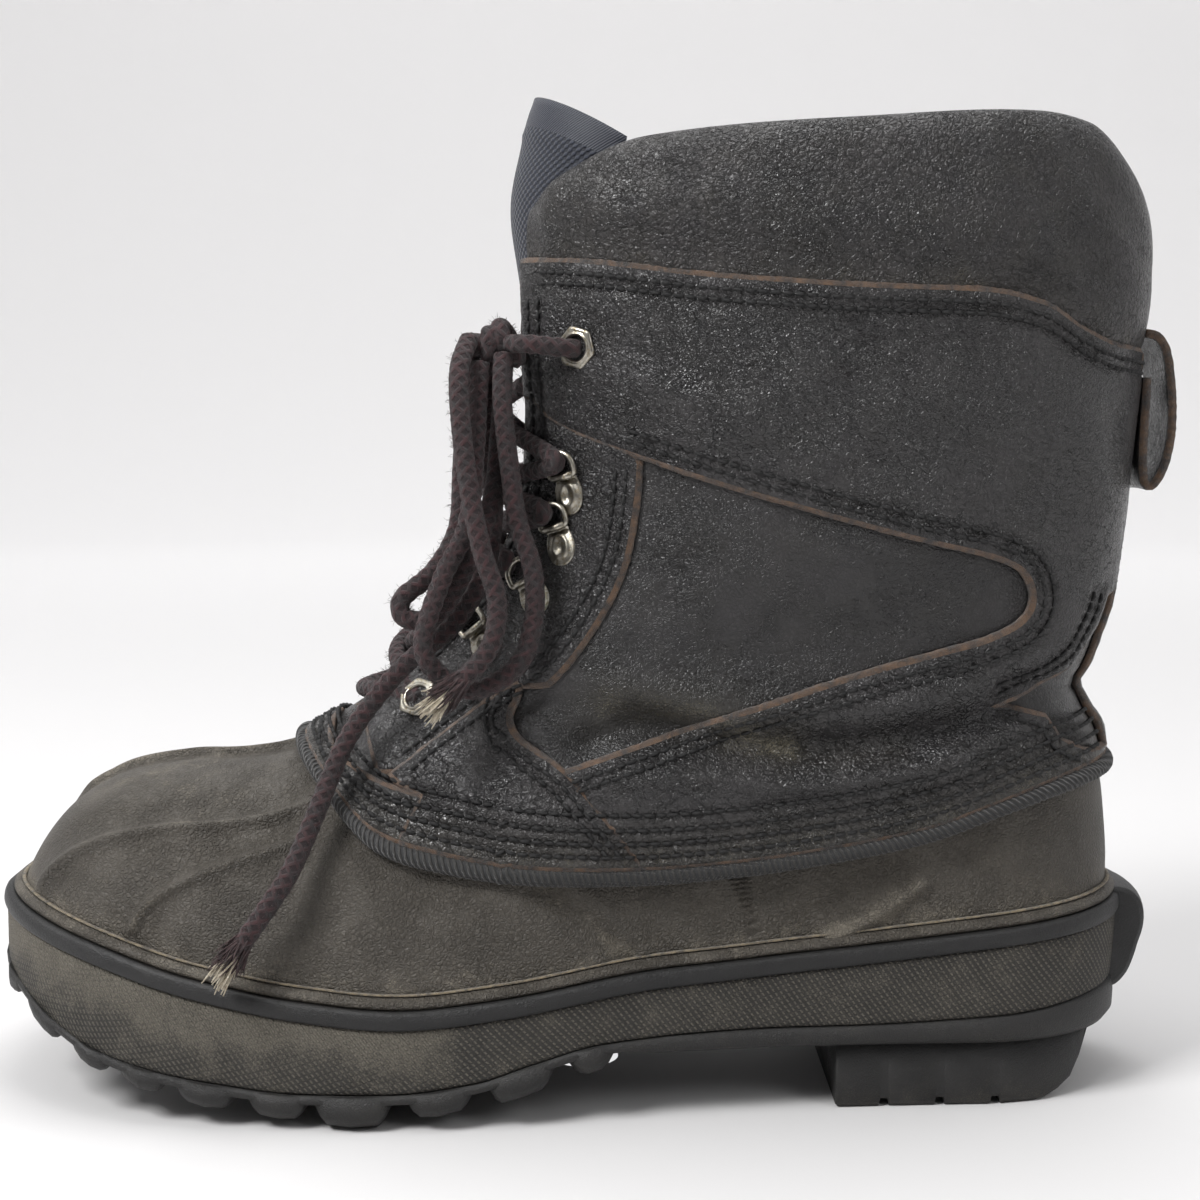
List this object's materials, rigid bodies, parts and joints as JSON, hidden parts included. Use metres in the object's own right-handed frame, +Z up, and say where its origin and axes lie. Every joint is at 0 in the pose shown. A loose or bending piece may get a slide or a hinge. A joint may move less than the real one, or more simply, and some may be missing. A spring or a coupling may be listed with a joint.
{
  "type": "insulated rubber boot",
  "caption": "Lace-up insulated boot for a left foot: moulded rubber shell, lugged rubber sole with heel block, leather shaft with padded collar, tongue, lace rings and a tied bow.",
  "frame": {"origin": "on the floor, under the middle of the boot's length and width", "axes": "+Z up, -X towards the toe, -Y towards the outer side of the left foot"},
  "size_m": [0.3249, 0.1246, 0.2683],
  "materials": {
    "shell_rubber": "matte, fine leather grain, dusty",
    "band_rubber": "matte, fine diagonal ribs, dusty",
    "black_rubber": "matte black with dust",
    "leather": "semi-gloss, grained, cracked",
    "collar_leather": "soft pebbled grain",
    "nylon": "coarse navy weave",
    "felt": "brushed felt",
    "metal": "worn nickel plate over brass",
    "cord": "fuzzy round braid, maroon and charcoal"
  },
  "bodies": {
    "root": {"outsole": "black_rubber", "heel": "black_rubber", "midsole": "band_rubber", "stripe": "black_rubber", "heel_kick": "black_rubber", "insole": "felt", "shell": "shell_rubber", "binding": "black_rubber", "upper": "leather", "quarter_outer": "leather", "quarter_inner": "leather", "facing_outer": "leather", "facing_inner": "leather", "vamp_outer": "leather", "vamp_inner": "leather", "front_band": "leather", "backstay": "leather", "collar": "collar_leather", "pull_loop": "leather", "tongue": "nylon", "eyelet_top_outer": "metal", "eyelet_bottom_outer": "metal", "eyelet_top_inner": "metal", "eyelet_bottom_inner": "metal", "lace_ring_1_outer": "metal", "lace_ring_2_outer": "metal", "lace_ring_3_outer": "metal", "lace_ring_4_outer": "metal", "lace_ring_1_inner": "metal", "lace_ring_2_inner": "metal", "lace_ring_3_inner": "metal", "lace_ring_4_inner": "metal", "lace_bars": "cord", "bow_knot": "cord", "bow_loop_front": "cord", "bow_loop_back": "cord", "lace_end_short": "cord", "lace_end_long": "cord"}
  },
  "joints": []
}
